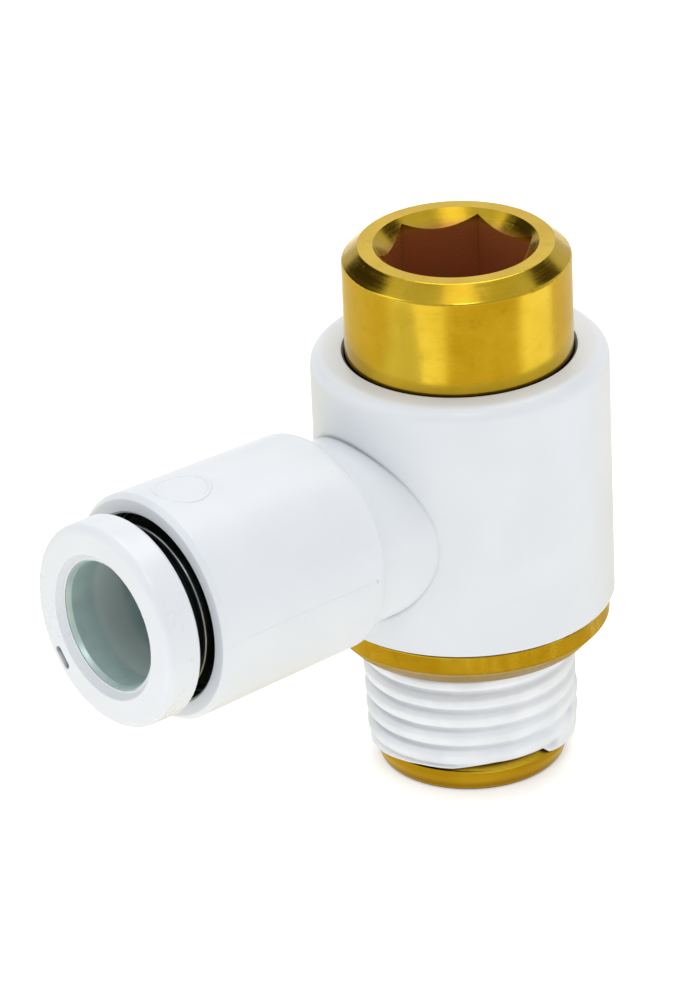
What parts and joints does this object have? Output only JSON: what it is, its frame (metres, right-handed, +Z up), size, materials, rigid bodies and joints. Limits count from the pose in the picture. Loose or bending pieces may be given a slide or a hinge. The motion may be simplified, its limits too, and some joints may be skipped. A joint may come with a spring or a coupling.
{
  "type": "flow control valve",
  "caption": "Swivelling elbow flow control valve: brass stud with hexagon socket, recessed needle and taper thread, white plastic body, push-in tube socket.",
  "frame": {"origin": "on the stud's axis at the underside of the brass flange, where the thread starts", "axes": "+Z up the stud towards the hexagon socket, the branch and its tube socket point along -X"},
  "size_m": [0.0385, 0.0188, 0.0358],
  "materials": {
    "brass": "polished",
    "brass_inner": "machined",
    "sealant": "thin waxy coat",
    "nitrile": "satin",
    "stainless": "bright",
    "stainless_satin": "satin drawn",
    "white_plastic": "moulded satin",
    "white_button": "moulded satin",
    "grey_plastic": "moulded"
  },
  "bodies": {
    "stud": {"valve_stud": "brass", "seat_flange": "brass", "thread_sealant": "sealant", "orifice_seat": "brass_inner", "needle_guide": "brass_inner", "guide_o_ring": "nitrile", "guide_snap_ring": "stainless", "lip_seal": "nitrile", "lower_o_ring": "nitrile", "upper_o_ring": "nitrile"},
    "needle_seal": {"needle_o_ring": "nitrile"},
    "needle": {"needle": "brass_inner"},
    "elbow": {"elbow_body": "white_plastic", "tube_seal": "nitrile", "chuck_spacer": "grey_plastic", "chuck": "stainless", "socket_guide": "stainless"},
    "release": {"release_button": "white_button", "collet": "stainless_satin"}
  },
  "joints": [
    {"name": "elbow_swivel", "type": "hinge", "parent": "stud", "child": "elbow", "pos_m": [0, 0, 0.01047], "axis": [0, 0, 1], "continuous": true},
    {"name": "button_press", "type": "slide", "parent": "elbow", "child": "release", "axis": [1, 0, 0], "range_m": [0, 0.001], "stiffness_N_per_m": 300, "springref_m": -0.001},
    {"name": "needle_travel", "type": "slide", "parent": "stud", "child": "needle_seal", "axis": [0, 0, 1], "range_m": [0, 0.002]},
    {"name": "needle_turn", "type": "hinge", "parent": "needle_seal", "child": "needle", "pos_m": [0, 0, 0.0133], "axis": [0, 0, 1], "range_deg": [0, 1440]}
  ],
  "couplings": [
    {"joint": "needle_turn", "follows": "needle_travel", "rad_per_m": 12566}
  ]
}
